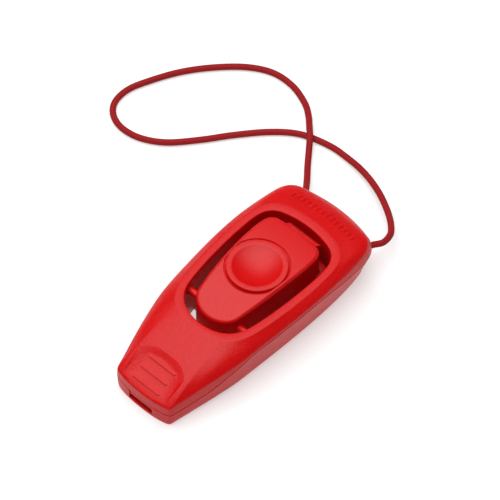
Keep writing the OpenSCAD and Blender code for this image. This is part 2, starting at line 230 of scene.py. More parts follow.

# %% [markdown]
# ### Metals
#
# The reed is rolled spring steel, tempered to a faint straw colour and brushed along its length,
# so its noise is stretched along X. The shell's screws are zinc plated and a little cloudy. The
# clamp's screws are painted near black, as painted shade for the dark gap beside the button where
# they sit. The ferrules are soft aluminium, pressed and scuffed by the crimping tool.


# %% Spring steel, zinc plate, near black steel and crimped aluminium
def metal(name, dull, bright, grain, stretch, depth, roughness):
    finish = Finish(name, Metallic=1.0)
    brush = finish.noise(grain, 4, stretch)
    cloud = finish.noise(1.5 * MM, 3)
    finish.vary("Base Color", finish.blend(cloud * 0.7 + brush * 0.3, dull, bright))
    finish.vary("Roughness", brush * 0.16 + cloud * 0.12 + roughness)
    finish.raise_by(brush, depth)
    return finish.material


SPRING_STEEL = metal("brushed_spring_steel", (0.42, 0.40, 0.36), (0.66, 0.65, 0.62),
                     0.10 * MM, (0.05, 1, 1), 0.003 * MM, 0.18)
ZINC = metal("zinc_plated_steel", (0.50, 0.51, 0.53), (0.78, 0.79, 0.80),
             0.22 * MM, (1, 1, 1), 0.004 * MM, 0.24)
# Near black: painted shade for the clamp screws, which sit in a dark gap.
SHADE_DARK_STEEL = metal("blackened_steel", (0.020, 0.020, 0.022), (0.055, 0.054, 0.056),
                    0.22 * MM, (1, 1, 1), 0.004 * MM, 0.36)
ALUMINIUM = metal("crimped_aluminium", (0.62, 0.62, 0.63), (0.85, 0.85, 0.86),
                  0.30 * MM, (1, 1, 1), 0.012 * MM, 0.30)
print("metals:", SPRING_STEEL.name, ZINC.name, ALUMINIUM.name)

# %% [markdown]
# ### Braided cord
#
# An elastic cord is a rubber core in a braided sleeve of dyed polyester. Its light comes from many
# thin threads, so it is rough, with a soft sheen at the edges. The braid itself is real geometry,
# made below, which leaves a number called weave on each point: 1 on top of a strand and 0 in the
# pit between strands. The colour reads that number and paints shade into the pits.

# %% Dark red braid
# The first colour is painted shade, laid into the pits between strands where the weave is low.
CORD_PIT_SHADE = (0.075, 0.001, 0.002)
CORD_STRAND, CORD_WORN = (0.36, 0.006, 0.009), (0.48, 0.016, 0.018)


def braided_fabric():
    finish = Finish("braided_red_cord", Sheen_Weight=0.05, Sheen_Roughness=0.4,
                    Sheen_Tint=(1.0, 0.30, 0.28), Specular_IOR_Level=0.2)
    weave = finish.add("ShaderNodeAttribute", {"attribute_name": "weave"}, output="Fac")
    threads = finish.noise(0.12 * MM, 2)
    wear = finish.noise(4 * MM, 2)
    strand = finish.blend(wear * threads * 1.2, CORD_STRAND, CORD_WORN)
    # Painted shade: low weave takes the dark pit colour, high weave the strand colour.
    finish.vary("Base Color", finish.blend(weave * 0.8 + threads * 0.35, CORD_PIT_SHADE, strand))
    finish.vary("Roughness", threads * 0.2 + 0.6)
    finish.raise_by(threads, 0.03 * MM)
    return finish.material


CORD_FABRIC = braided_fabric()
print("cord finish:", CORD_FABRIC.name)

# %% [markdown]
# ## Skins and pieces
#
# Nearly every moulded part can be seen as a skin stretched over a stack of rings, as a ship's hull
# is stretched over its frames. Each ring has the same number of points, and four neighbours make
# one face. A ring of a single point closes an end. Sizes are written in millimetres and turned
# into metres only when a piece is made.


# %% Stretch a skin over rings, and make it a piece
def loft(rings, closed=False):
    """Points and faces of a skin over rings; a ring of one point is a pole."""
    points, faces, starts = [], [], []
    for ring in rings:
        starts.append(len(points))
        points += [tuple(float(c) for c in p) for p in ring]
    pairs = list(zip(range(len(rings)), range(1, len(rings))))
    if closed:
        pairs.append((len(rings) - 1, 0))
    for low, high in pairs:
        n_low, n_high = len(rings[low]), len(rings[high])
        for i in range(max(n_low, n_high)):
            j = i + 1
            corners = (starts[low] + i % n_low, starts[low] + j % n_low,
                       starts[high] + j % n_high, starts[high] + i % n_high)
            faces.append(list(dict.fromkeys(corners)))
    return points, faces


def solid(name, *skins, material=None):
    """A mesh object in metres from one or more closed skins in millimetres."""
    mesh = bpy.data.meshes.new(name)
    points, faces = [], []
    for skin_points, skin_faces in skins:
        faces += [[len(points) + i for i in face] for face in skin_faces]
        points += skin_points
    mesh.from_pydata([Vector(p) * MM for p in points], [], faces)
    shape = bmesh.new()
    shape.from_mesh(mesh)
    bmesh.ops.recalc_face_normals(shape, faces=shape.faces)
    shape.to_mesh(mesh)
    shape.free()
    if material:
        mesh.materials.append(material)
    return put_in_scene(name, mesh)


def apply_modifiers(made):
    """Make the result of an object's modifiers its own mesh."""
    evaluated = made.evaluated_get(bpy.context.evaluated_depsgraph_get())
    mesh = bpy.data.meshes.new_from_object(evaluated)
    made.modifiers.clear()
    made.data = mesh


def carve(made, tool, operation="DIFFERENCE"):
    """Cut a tool out of a piece, or weld it on, and throw the tool away."""
    modifier = made.modifiers.new(operation, "BOOLEAN")
    modifier.operation, modifier.object, modifier.solver = operation, tool, "EXACT"
    apply_modifiers(made)
    bpy.data.objects.remove(tool)


def finish_piece(made, body, slot, *nodes, crease=32):
    """Smooth the shading up to an angle, and tell the frame what the piece stands for."""
    made.data.shade_smooth()
    made.data.set_sharp_from_angle(angle=math.radians(crease))
    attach(made, body)
    if nodes:
        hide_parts(*nodes)
    print(f"{made.name}: {len(made.data.vertices)} points, {len(made.data.polygons)} faces")


# %% Simple skins: prisms and turned shapes
def lift(outline, z):
    """A flat outline raised to a height, or to one height for each point."""
    outline = np.asarray(outline, float)
    return np.column_stack([outline, np.broadcast_to(z, len(outline))])


def pole(ring):
    return [np.mean(ring, axis=0)]


def capped(*rings):
    """A closed skin over rings, with flat ends."""
    return loft([pole(rings[0]), *rings, pole(rings[-1])])


def unit_circle(sides):
    """Angles round a circle, and its points at radius one."""
    angles = np.arange(sides) * 2 * math.pi / sides
    return angles, np.column_stack([np.cos(angles), np.sin(angles)])


def turned(profile, sides):
    """A closed skin of revolution about Z through (radius, height) pairs, from the bottom up."""
    circle = unit_circle(sides)[1]
    rings = [lift(circle * r, z) if r else [(0, 0, z)] for r, z in profile]
    return loft(rings)


def moved(skin, matrix):
    points, faces = skin
    return [tuple(matrix @ Vector(p)) for p in points], faces

# %% [markdown]
# ## Geometry Nodes as a workshop machine
#
# Geometry Nodes suit whatever repeats or follows a path. The tree is built here in code, with
# named inputs for its sizes, so one tree can be run with other sizes. A modifier keeps its inputs
# under the sockets' identifiers, and they are set before the object is looked at for the first
# time. The result is then turned into a plain mesh, and the modifier goes.

# %% Build and run a tree of Geometry Nodes
SOCKETS = {float: "NodeSocketFloat", int: "NodeSocketInt", tuple: "NodeSocketVector",
           bpy.types.Object: "NodeSocketObject", bpy.types.Material: "NodeSocketMaterial"}


class Machine(Graph):
    """A Geometry Nodes tree that takes a shape and named sizes."""

    def __init__(self, name, **kinds):
        super().__init__(bpy.data.node_groups.new(name, "GeometryNodeTree"))
        sockets = self.tree.interface
        sockets.new_socket("Shape", in_out="INPUT", socket_type="NodeSocketGeometry")
        for label, kind in kinds.items():
            sockets.new_socket(label, in_out="INPUT", socket_type=SOCKETS[kind])
        sockets.new_socket("Made", in_out="OUTPUT", socket_type="NodeSocketGeometry")
        self.shape = self.add("NodeGroupInput")

    def size(self, label):
        return self.shape.other(label)

    def end(self, shape, material):
        """Close the tree: real meshes, smooth, with a finish."""
        real = self.add("GeometryNodeRealizeInstances", {}, {0: shape})
        smooth = self.add("GeometryNodeSetShadeSmooth", {}, {0: real})
        painted = self.add("GeometryNodeSetMaterial", {}, {0: smooth, "Material": material})
        self.feed(self.tree.nodes.new("NodeGroupOutput").inputs[0], painted)

    def set_out(self, points, material, **rotation):
        """Put a copy of the Item on every point, and close the tree."""
        item = self.add("GeometryNodeObjectInfo", {"transform_space": "ORIGINAL"},
                        {"Object": self.size("Item")}, "Geometry")
        self.end(self.add("GeometryNodeInstanceOnPoints", {},
                          {"Points": points, "Instance": item, **rotation}), material)

    def run(self, name, points, edges=(), **sizes):
        """Run the tree on points in metres and return the piece that it makes."""
        mesh = bpy.data.meshes.new(name)
        mesh.from_pydata(points, list(edges), [])
        made = put_in_scene(name, mesh)
        modifier = made.modifiers.new(self.tree.name, "NODES")
        modifier.node_group = self.tree
        for item in self.tree.interface.items_tree:
            if item.in_out == "INPUT" and item.name in sizes:
                modifier[item.identifier] = sizes[item.name]
        apply_modifiers(made)
        return made


# %% [markdown]
# ## The wrist cord
#
# The cord leaves the left hole, swings out, rises over itself in a long low hump, lies on the
# table in a loose loop, and comes back to the right hole. Both ends are stopped inside by a
# ferrule. Its route is a given list of places, the same list that the CAD tube follows, with a
# smooth curve through them.

# %% The cord's route
CORD_D, BRAID_BASE = 2.0, 0.97
CORD_ROUTE = [
    (37.7, 13, 7.5), (39.5, 13.0, 7.5), (41.5, 13.3, 6.9), (43.8, 15.1, 5.0), (48.1, 18.6, 2.9),
    (51.9, 21.9, 1.6), (55.5, 24.8, 1.6), (58.3, 27.0, 2.6), (60.4, 28.8, 3.2), (62.6, 31.0, 2.7),
    (66.3, 34.8, 1.4), (69.1, 39.0, 1.0), (71.2, 45.8, 1.0), (70.8, 53.3, 1.0), (67.0, 60.5, 1.0),
    (60.1, 67.7, 1.0), (52.0, 73.8, 1.0), (43.0, 78.4, 1.0), (36.6, 80.6, 1.0), (30.9, 80.2, 1.0),
    (27.1, 77.2, 1.0), (25.4, 72.1, 1.0), (26.4, 65.6, 1.0), (30.5, 58.8, 1.0), (37.9, 52.2, 1.0),
    (45.9, 46.2, 1.0), (53.4, 39.8, 1.0), (58.4, 34.0, 1.0), (60.9, 28.8, 1.0), (62.5, 21.8, 1.1),
    (62.5, 16.0, 1.4), (61.9, 10.5, 2.0), (60.5, 4.9, 2.7), (58.3, -0.7, 3.4), (55.8, -5.4, 4.0),
    (53.3, -9.2, 4.6), (50.7, -12.2, 5.2), (48.0, -14.2, 5.9), (44.2, -14.9, 6.8),
    (41.4, -13.7, 7.4), (39.5, -13.0, 7.5), (37.7, -13, 7.5)]


def spline(route, per_span):
    """A smooth curve through every place on a route."""
    p = np.array([route[0], *route, route[-1]], float)
    t = np.arange(per_span)[:, None] / per_span
    spans = [0.5 * (2 * b + (c - a) * t + (2 * a - 5 * b + 4 * c - d) * t**2
                    + (3 * b - a - 3 * c + d) * t**3)
             for a, b, c, d in zip(p, p[1:], p[2:], p[3:])]
    return np.vstack([*spans, p[-1]])


cord_line = spline(CORD_ROUTE, 8) * MM

# %% [markdown]
# ### The braid
#
# A braided sleeve is two families of strands that wind opposite ways and pass over and under each
# other. Let one family's phase be "round + along" and the other's "round - along". The cosine of
# each phase is a row of ridges. Where both ridges meet, the sign of their product says which
# strand is on top. That one formula lifts the surface, and is kept as the weave for the colour.

# %% Braid a tube along the route
OVER, UNDER, WEAVE_MIDDLE = 0.22, 0.78, 0.6

braider = Machine("braided_tube", Radius=float, Sides=int, Step=float, Strands=float, Lay=float,
                  Relief=float)


def remember(machine, shape, label, value):
    """Keep a number under a name on every point of a shape."""
    return machine.add("GeometryNodeStoreNamedAttribute", {"data_type": "FLOAT"},
                       {"Geometry": shape, "Name": label, "Value": value})


def recall(machine, label):
    return machine.add("GeometryNodeInputNamedAttribute", {"data_type": "FLOAT"}, {"Name": label})


path = braider.add("GeometryNodeMeshToCurve", {}, {0: braider.shape})
path = braider.add("GeometryNodeResampleCurve", {"mode": "LENGTH"},
                   {0: path, "Length": braider.size("Step")})
path = remember(braider, path, "along",
                braider.add("GeometryNodeSplineParameter", output="Length"))
ring = braider.add("GeometryNodeCurvePrimitiveCircle", {"mode": "RADIUS"},
                   {"Resolution": braider.size("Sides"), "Radius": braider.size("Radius")})
ring = remember(braider, ring, "round", braider.add("GeometryNodeSplineParameter"))
tube = braider.add("GeometryNodeCurveToMesh", {}, {0: path, 1: ring, "Fill Caps": True})

turns = recall(braider, "round") * braider.size("Strands")
wound = recall(braider, "along") / braider.size("Lay") * braider.size("Strands")
ridge_a = turns.math("COSINE", (turns + wound) * math.pi)
ridge_b = turns.math("COSINE", (turns - wound) * math.pi)
crossing = ridge_a * ridge_b * OVER
weave = turns.math("MAXIMUM", abs(ridge_a) * (crossing + UNDER),
                   abs(ridge_b) * (UNDER - crossing))
lift_by = braider.add("ShaderNodeVectorMath", {"operation": "SCALE"},
                      {0: braider.add("GeometryNodeInputNormal"),
                       "Scale": (weave - WEAVE_MIDDLE) * braider.size("Relief")})
tube = remember(braider, tube, "weave", weave)
tube = braider.add("GeometryNodeSetPosition", {}, {"Geometry": tube, "Offset": lift_by})
braider.end(tube, CORD_FABRIC)

edges = [(i, i + 1) for i in range(len(cord_line) - 1)]
cord = braider.run("braided_wrist_cord", cord_line.tolist(), edges,
                   Radius=BRAID_BASE * CORD_D / 2 * MM, Sides=40, Step=0.15 * MM, Strands=8.0,
                   Lay=5.2 * MM, Relief=0.09 * MM)
print("cord box in mm:", np.round([np.array([v.co for v in cord.data.vertices]).min(0) / MM,
                                   np.array([v.co for v in cord.data.vertices]).max(0) / MM], 2))

# %% [markdown]
# ## The outlines of the housing
#
# Five closed curves hold the whole shape of the housing: the seam between the shells, which is its
# widest line, the shoulder where the sides turn over, the rim round the window, the window itself,
# and the flat of the underside. Each is half an outline of chained cubic curves, from the
# mouthpiece to the cord end, and its mirror image. They are the curves that the CAD uses.

# %% Chained curves
SEAM = [(-42.2, 0), (-42.2, 3.7), (-41.9, 7), (-41.2, 9.5), (-41, 10.2), (-40.7, 10.6),
        (-40.1, 10.8), (-31.3, 13.1), (-21.3, 16.1), (-15.3, 16.8), (-8.3, 17.6), (4.7, 18.8),
        (14.7, 18.8), (21.7, 18.8), (28.7, 18.5), (33.9, 17.6), (37.4, 17), (39.6, 15.2),
        (40.3, 12.5), (41.6, 8.3), (42.2, 4), (42.2, 0)]
SHOULDER = [(-42.2, 0), (-42.2, 3.7), (-41.9, 6.9), (-41.2, 9.4), (-41, 10), (-40.7, 10.4),
            (-40.1, 10.6), (-31.3, 13), (-21.3, 16), (-15.3, 16.7), (-8.3, 17.5), (4.7, 18.7),
            (14.7, 18.7), (21.7, 18.7), (27.9, 18.3), (32.9, 17.3), (36.2, 16.6), (38.2, 14.9),
            (38.7, 12.5), (39.4, 8.3), (39.7, 4), (39.7, 0)]
RIM = [(-19.3, 0), (-19.3, 2.5), (-19.0, 5.0), (-18.4, 7.0), (-18.2, 7.7), (-17.9, 8.2),
       (-17.7, 8.7), (-16.6, 11.0), (-13.8, 12.9), (-11.3, 13.7), (-7.3, 15.0), (4.7, 16.2),
       (12.7, 16.2), (17.2, 16.2), (21.2, 16.1), (24.2, 15.1), (26.7, 14.3), (28.7, 12.2),
       (29.6, 9.5), (30.4, 6.9), (30.8, 3.5), (30.8, 0)]
BASE = [(-42, 0), (-42, 3.8), (-41.7, 6.9), (-41, 9), (-40.8, 9.6), (-40.4, 10), (-39.8, 10.1),
        (-31.3, 11.4), (-21.3, 12.5), (-15.3, 12.7), (-8.3, 12.9), (4.7, 13), (14.7, 13),
        (21.7, 13), (26.7, 12.6), (30.2, 11.8), (32.7, 11.2), (34.1, 9.8), (34.7, 7.9), (35.6, 5),
        (36.1, 2.5), (36.1, 0)]
WINDOW = [(-17.4, 0), (-17.4, 5.2), (-15.2, 9.7), (-10.3, 11.3), (-6.3, 12.6), (5.7, 13.8),
          (13.7, 13.8), (16.7, 13.8), (19.7, 13.8), (21.9, 13.3), (24.7, 12.6), (26.3, 10.8),
          (27.0, 8.4), (27.7, 6.0), (28.2, 3.0), (28.2, 0)]
BUTTON = [(-14.4, 0), (-14.4, 3.6), (-12.3, 7.0), (-9.3, 7.6), (-2.3, 9.0), (7.7, 10.1),
          (14.7, 10.2), (16.7, 10.3), (19.1, 10.2), (20.7, 9.9), (22.3, 9.6), (23.3, 8.6),
          (23.5, 7.0), (23.8, 4.8), (24.0, 2.4), (24.0, 0)]
RING_POINTS = (30, 8, 46, 50, 34, 20, 26)  # on each of a half outline's seven curves


def cubic(p, t):
    p, t = np.array(p, float), np.asarray(t)[:, None]
    return (1 - t)**3 * p[0] + 3 * t * (1 - t)**2 * p[1] + 3 * t**2 * (1 - t) * p[2] + t**3 * p[3]


def half(path, counts):
    """Half an outline, with so many points on each of its curves."""
    curves = [cubic(path[3 * k:3 * k + 4], np.arange(n) / n) for k, n in enumerate(counts)]
    return np.vstack([*curves, [path[-1]]])


def closed(one_half):
    """The whole outline: one half and its mirror image."""
    return np.vstack([one_half, one_half[-2:0:-1] * [1, -1]])


def arc_share(points):
    run = np.concatenate([[0], np.linalg.norm(np.diff(points, axis=0), axis=1).cumsum()])
    return run / run[-1]


def half_beside(path, guide, joints):
    """Half an outline whose points lie opposite a guide's, between pairs of matching joints."""
    pieces = []
    for k, (a, b) in enumerate(zip(joints, joints[1:])):
        fine = cubic(path[3 * k:3 * k + 4], np.linspace(0, 1, 200))
        share = arc_share(guide[a:b + 1])
        pieces.append(np.column_stack([np.interp(share, arc_share(fine), fine[:, c])
                                       for c in (0, 1)])[:-1])
    return np.vstack([*pieces, [path[-1]]])


seam, shoulder, rim, base = (closed(half(path, RING_POINTS))
                             for path in (SEAM, SHOULDER, RIM, BASE))
rim_half = half(RIM, RING_POINTS)
rim_joints = np.concatenate([[0], np.cumsum(RING_POINTS)])[[0, 3, 4, 5, 6, 7]]
window = closed(half_beside(WINDOW, rim_half, rim_joints))
print("points on each ring:", len(seam), len(window))

# %% [markdown]
# Two more curves are seen from the side: the height of the shoulder and the height of the seam, by
# place along the body. A table with a smooth curve through it gives a height for any place.

# %% Heights along the body, and an outline moved outwards
SHOULDER_Z = [(-42.2, 8.1), (-37.3, 9.1), (-29.3, 11.0), (-21.3, 12.4), (-13.3, 13.8),
              (-1.3, 14.5), (10.7, 14.9), (18.7, 14.8), (26.7, 14.2), (39.7, 14.0)]
SEAM_Z = [(-42, 4.8), (-37.3, 5.4), (-29.3, 6.8), (-25.3, 8.1), (-21.3, 9.9), (-17.3, 11.4),
          (-13.3, 12.6), (-5.3, 13.1), (6.7, 13.4), (14.7, 13.4), (22.7, 12.2), (30.7, 11.0),
          (42, 10)]
DRAFT = [(-42.2, 0.1), (-13.3, 0.3), (42, 0.3)]
RIM_Z = 16.9


def height(x, table):
    """Read a table of (place, height) along a smooth curve."""
    xs, zs = np.array(table).T
    slopes = np.gradient(zs, xs)
    k = np.clip(np.searchsorted(xs, x) - 1, 0, len(xs) - 2)
    w = xs[k + 1] - xs[k]
    t = (x - xs[k]) / w
    return ((1 + 2 * t) * (1 - t)**2 * zs[k] + t * (1 - t)**2 * w * slopes[k]
            + t * t * (3 - 2 * t) * zs[k + 1] - t * t * (1 - t) * w * slopes[k + 1])


def mix(a, b, t):
    return a * (1 - t) + b * t


def grown(outline, distance):
    along = np.roll(outline, -1, 0) - np.roll(outline, 1, 0)
    along /= np.linalg.norm(along, axis=1)[:, None]
    return outline + distance * np.column_stack([-along[:, 1], along[:, 0]])


shoulder_ring = lift(shoulder, height(shoulder[:, 0], SHOULDER_Z))
rim_ring = lift(rim, RIM_Z)
seam_z = height(seam[:, 0], SEAM_Z)
CROWN_BULGE, CROWN_FULL, CROWN_FALL = 0.16, 1.7, 1.4
crown_span = np.linalg.norm(rim_ring - shoulder_ring, axis=1)[:, None]


def crown(t):
    """The domed top between the shoulder and the rim, t from 0 to 1, fuller at the shoulder."""
    ring = mix(shoulder_ring, rim_ring, t)
    ring[:, 2] += (CROWN_BULGE * t * (1 - t) * (CROWN_FULL - CROWN_FALL * t) * crown_span)[:, 0]
    return ring


print("widest place:", round(2 * seam[:, 1].max(), 1), "mm")

# %% [markdown]
# ## The upper shell
#
# The skin of the upper shell starts in the seam, climbs the side, turns over the shoulder, runs up
# the domed crown to the flat rim, rolls over the edge of the window, and goes down the wall of the
# well back to the seam. Where two surfaces of a moulding meet, the mould always leaves a small
# radius. An extra ring on either side of such an edge makes that radius.

# %% Rings of the upper shell
SEAM_GAP, SEAM_BEVEL, EDGE = 0.03, 0.2, 0.14
WELL_EDGE_R = 0.4


def quarter(steps=5):
    """Angles of a quarter turn."""
    return [math.radians(a) for a in np.linspace(0, 90, steps)]


def seam_face(offset_z, inner):
    """Rings across the face where the shells meet, from the window out to the side."""
    outer = grown(seam, -SEAM_BEVEL)
    plans = [mix(inner, outer, t) for t in np.linspace(0, 1, 9)]
    return [lift(plan, height(plan[:, 0], SEAM_Z) + offset_z) for plan in plans]


side = [lift(mix(shoulder, seam, math.sin(a)),
             mix(shoulder_ring[:, 2], seam_z + SEAM_BEVEL, 2 * a / math.pi))
        for a in reversed(quarter(8))]
side[-1][:, 2] -= EDGE
edge_share, rim_share = EDGE / crown_span, 1 - EDGE / crown_span
crown_rings = [crown(mix(edge_share, rim_share, t)) for t in np.linspace(0, 1, 46)]
rim_rings = [lift(mix(rim, window, 0.06), RIM_Z), lift(mix(rim, window, 0.4), RIM_Z)]
well_edge = [lift(grown(window, WELL_EDGE_R * (1 - math.sin(a))),
                  RIM_Z - WELL_EDGE_R * (1 - math.cos(a))) for a in quarter()]
window_seam_z = height(window[:, 0], SEAM_Z)
well_wall = [lift(window, mix(RIM_Z - WELL_EDGE_R, window_seam_z + SEAM_GAP, t))
             for t in (0.33, 0.66)]
upper_rings = (side + crown_rings + rim_rings + well_edge + well_wall
               + seam_face(SEAM_GAP, window))
upper = solid("upper_shell_moulding", loft(upper_rings, closed=True), material=SHELL_PLASTIC)
print("rings in the upper shell:", len(upper_rings))

# %% [markdown]
# ### The bite pad
#
# Teeth hold the mouthpiece on a flat pad, set a little into the domed top, with three raised bars
# across it. The pad is cut with a tool whose lower face is the plane of the pad and whose back
# wall is a slanted arc with round corners. The bars are one shape set out by Geometry Nodes and
# then welded on, so that the shell stays a single moulding.

# %% Cut the pad
PAD_X, PAD_Z, PAD_SLOPE = -41.7, 8.43, 0.385
PAD_BACK_X, PAD_ROUND, PAD_HALF_W, PAD_FRONT_HALF_W = -31.1, 2.9, 7.6, 8.4
PAD_WALL_SPREAD, PAD_WALL_H, OUTSIDE_X = 4.2, 3, 46


def on_pad(plan, above=0.0):
    plan = np.asarray(plan, float)
    return lift(plan, PAD_Z + PAD_SLOPE * (plan[:, 0] - PAD_X) + above)


def pad_plan(spread):
    share = np.linspace(-1, 1, 41)
    back = PAD_BACK_X + spread - PAD_ROUND * np.abs(share)**3
    front_w = PAD_FRONT_HALF_W + spread
    return np.vstack([np.column_stack([back, share * (PAD_HALF_W + spread)]),
                      [(-OUTSIDE_X, front_w), (-OUTSIDE_X, -front_w)]])


pad_tool = solid("pad_tool", capped(on_pad(pad_plan(0)),
                                    on_pad(pad_plan(PAD_WALL_SPREAD), PAD_WALL_H)))
carve(upper, pad_tool)

# %% Set out the bars and weld them on
BARS, BAR_X, BAR_PITCH = 3, -40.1, 3.38
BAR_HALF_W, BAR_DEEP, BAR_RISE, BAR_CORNER = 5.15, 1.05, 0.36, 0.25

row = Machine("row_of_shapes", Item=bpy.types.Object, Count=int, Step=tuple)
line = row.add("GeometryNodeMeshLine", {"mode": "OFFSET"},
               {"Count": row.size("Count"), "Offset": row.size("Step")})
row.set_out(line, SHELL_PLASTIC)

bar_outline = [(0.0, BAR_HALF_W - BAR_CORNER), (BAR_CORNER, BAR_HALF_W),
               (BAR_DEEP, BAR_HALF_W), (BAR_DEEP, -BAR_HALF_W),
               (BAR_CORNER, -BAR_HALF_W), (0.0, -BAR_HALF_W + BAR_CORNER)]
bar_plan = np.array(bar_outline) + [BAR_X, 0]
bar_top = on_pad(bar_plan * [1, 0.985], BAR_RISE)
bar_top[:, 2] -= (BAR_RISE + 0.04) * (bar_plan[:, 0] - BAR_X) / BAR_DEEP
bar = solid("bite_bar", capped(on_pad(bar_plan, -0.3), bar_top), material=SHELL_PLASTIC)
bars = row.run("bite_bars", [(0, 0, 0)], Item=bar, Count=BARS,
               Step=(BAR_PITCH * MM, 0.0, BAR_PITCH * PAD_SLOPE * MM))
bpy.data.objects.remove(bar)
carve(upper, bars, "UNION")
print("bars:", BARS, "at a pitch of", BAR_PITCH, "mm")

# %% [markdown]
# ### The row of ridges
#
# The cord end carries a plain row of raised ridges in an arc, a grip for the fingertip that draws
# the whistle from the mouth. They follow the crown, so a line is drawn on it half way between
# shoulder and rim, Geometry Nodes space the ridges evenly along it, and they are welded on as
# well.

# %% Space the ridges along the crown
RIDGES, RIDGE_L, RIDGE_W, RIDGE_RISE = 14, 2.2, 0.75, 0.24
RIDGE_HALF_SPAN, RIDGE_SHARE = 11.8, 0.46

spacer = Machine("ridges_along_a_line", Item=bpy.types.Object, Count=int, Upright=tuple)
line = spacer.add("GeometryNodeMeshToCurve", {}, {0: spacer.shape})
line = spacer.add("GeometryNodeResampleCurve", {"mode": "COUNT"},
                  {0: line, "Count": spacer.size("Count")})
turn = spacer.add("FunctionNodeAlignRotationToVector", {"axis": "Z"},
                  {"Vector": spacer.size("Upright")})
spacer.set_out(line, SHELL_PLASTIC, Rotation=turn)


def ridge_ring(inset, z):
    """An outline with round ends, moved in a little."""
    turn = (np.arange(24) + 0.5) * math.pi / 12
    ends = np.sign(np.cos(turn)) * (RIDGE_L - RIDGE_W) / 2
    radius = RIDGE_W / 2 - inset
    return lift(np.column_stack([ends + radius * np.cos(turn), radius * np.sin(turn)]), z)


ridge_rings = [ridge_ring(0, -0.4), ridge_ring(0, RIDGE_RISE / 2),
               ridge_ring(0.08, 0.85 * RIDGE_RISE), ridge_ring(0.22, RIDGE_RISE)]
ridge = solid("ridge", capped(*ridge_rings), material=SHELL_PLASTIC)
arc = crown(RIDGE_SHARE)
arc = arc[(arc[:, 0] > 20) & (abs(arc[:, 1]) < RIDGE_HALF_SPAN)]
arc = arc[np.argsort(arc[:, 1])]
slope = (crown(RIDGE_SHARE + 0.1) - crown(RIDGE_SHARE - 0.1))[len(seam) // 2]
upright = (float(slope[2]), 0.0, -float(slope[0]))
ridges = spacer.run("ridges", (arc * MM).tolist(), [(i, i + 1) for i in range(len(arc) - 1)],
                    Item=ridge, Count=RIDGES, Upright=upright)
bpy.data.objects.remove(ridge)
carve(upper, ridges, "UNION")
print("ridges:", RIDGES, "leaning", np.round(upright, 2))

# %% [markdown]
# ### Bearings
#
# The button turns on two pegs. Each lies in a round bearing that is half in one shell and half in
# the other, so the button drops in before the shells are closed.

# %% Cut the bearings and finish the upper shell
PEG_X, PEG_Z, PEG_R, PEG_NECK_R, PEG_REACH, PEG_PLAY = -9.3, 13.2, 1.6, 1.2, 13.3, 0.1
ALONG_Y = Matrix.Rotation(math.radians(90), 4, "X")


def across_body(radius, reach, x, z, sides=48):
    """A round bar across the body."""
    bar = turned([(0, -reach), (radius, -reach), (radius, reach), (0, reach)], sides)
    return moved(bar, Matrix.Translation((x, 0, z)) @ ALONG_Y)


def bearing_tool():
    return solid("bearing_tool", across_body(PEG_R + PEG_PLAY, PEG_REACH + 0.3, PEG_X, PEG_Z))


carve(upper, bearing_tool())
finish_piece(upper, "housing", "shell_plastic", "upper_shell")

# %% [markdown]
# ## The lower shell
#
# The lower shell is a ring as well, because the window goes right through it and lets the click
# out. Its wall leans in towards the underside, so that it leaves the mould, and ends in a generous
# rounding. A shelf across the cord end of the window carries the reed.

# %% Rings of the lower shell
FOOT_R, FOOT_STEPS, LOWER_WINDOW_EXTRA = 3.6, 9, 0.2

draft = np.interp(seam[:, 0], *np.array(DRAFT).T)[:, None]
wall_foot = mix(seam, base, draft)
under_window = grown(window, LOWER_WINDOW_EXTRA)
foot = [lift(mix(wall_foot, base, 1 - math.cos(a)), FOOT_R * (1 - math.sin(a)))
        for a in reversed(quarter(FOOT_STEPS))]
wall_top = lift(seam, seam_z - SEAM_BEVEL)
wall = [mix(foot[-1], wall_top, t) for t in (0.2, 0.4, 0.6, 0.8, 1)]
underside = [lift(mix(under_window, base, t), 0) for t in (0.04, 0.35, 0.65)]
inner_top = height(under_window[:, 0], SEAM_Z) - SEAM_GAP
inner_wall = [lift(under_window, mix(inner_top, EDGE, t)) for t in (0.33, 0.66, 1)]
lower_rings = (underside + foot + wall
               + list(reversed(seam_face(-SEAM_GAP, under_window))) + inner_wall)
lower = solid("lower_shell_moulding", loft(lower_rings, closed=True), material=SHELL_PLASTIC)

# %% Weld the reed's shelf across the window
SHELF_X, SHELF_FLOOR_Z, SHELF_TOP_Z, NOSE_R = 19.2, 1.6, 5.0, 0.6

shelf_edge = grown(window, LOWER_WINDOW_EXTRA + 0.25)
shelf_edge = shelf_edge[shelf_edge[:, 0] > SHELF_X + NOSE_R + 0.2]


def shelf_ring(front_x, z):
    (_, first_y), (_, last_y) = shelf_edge[0], shelf_edge[-1]
    front = [(front_x, last_y), (front_x, last_y / 2), (front_x, first_y / 2), (front_x, first_y)]
    return lift(np.vstack([shelf_edge, front]), z)


nose = [shelf_ring(SHELF_X + NOSE_R * (1 - math.cos(a)), SHELF_TOP_Z - NOSE_R * (1 - math.sin(a)))
        for a in quarter()]
shelf_rings = [shelf_ring(SHELF_X, SHELF_FLOOR_Z), *nose]
shelf = solid("shelf", capped(*shelf_rings),
              material=SHELL_PLASTIC)
carve(lower, shelf, "UNION")

# %% [markdown]
# ### Air, screws and cord
#
# The whistle is one long cut in side view: the blowing slot with the seat of its insert, then the
# sounding gap in the underside with its slanted lip, then the resonance chamber. Four screws come
# up from the underside through recessed holes, and the cord goes in through two holes in the end
# wall, with a pocket behind each for the ferrule.

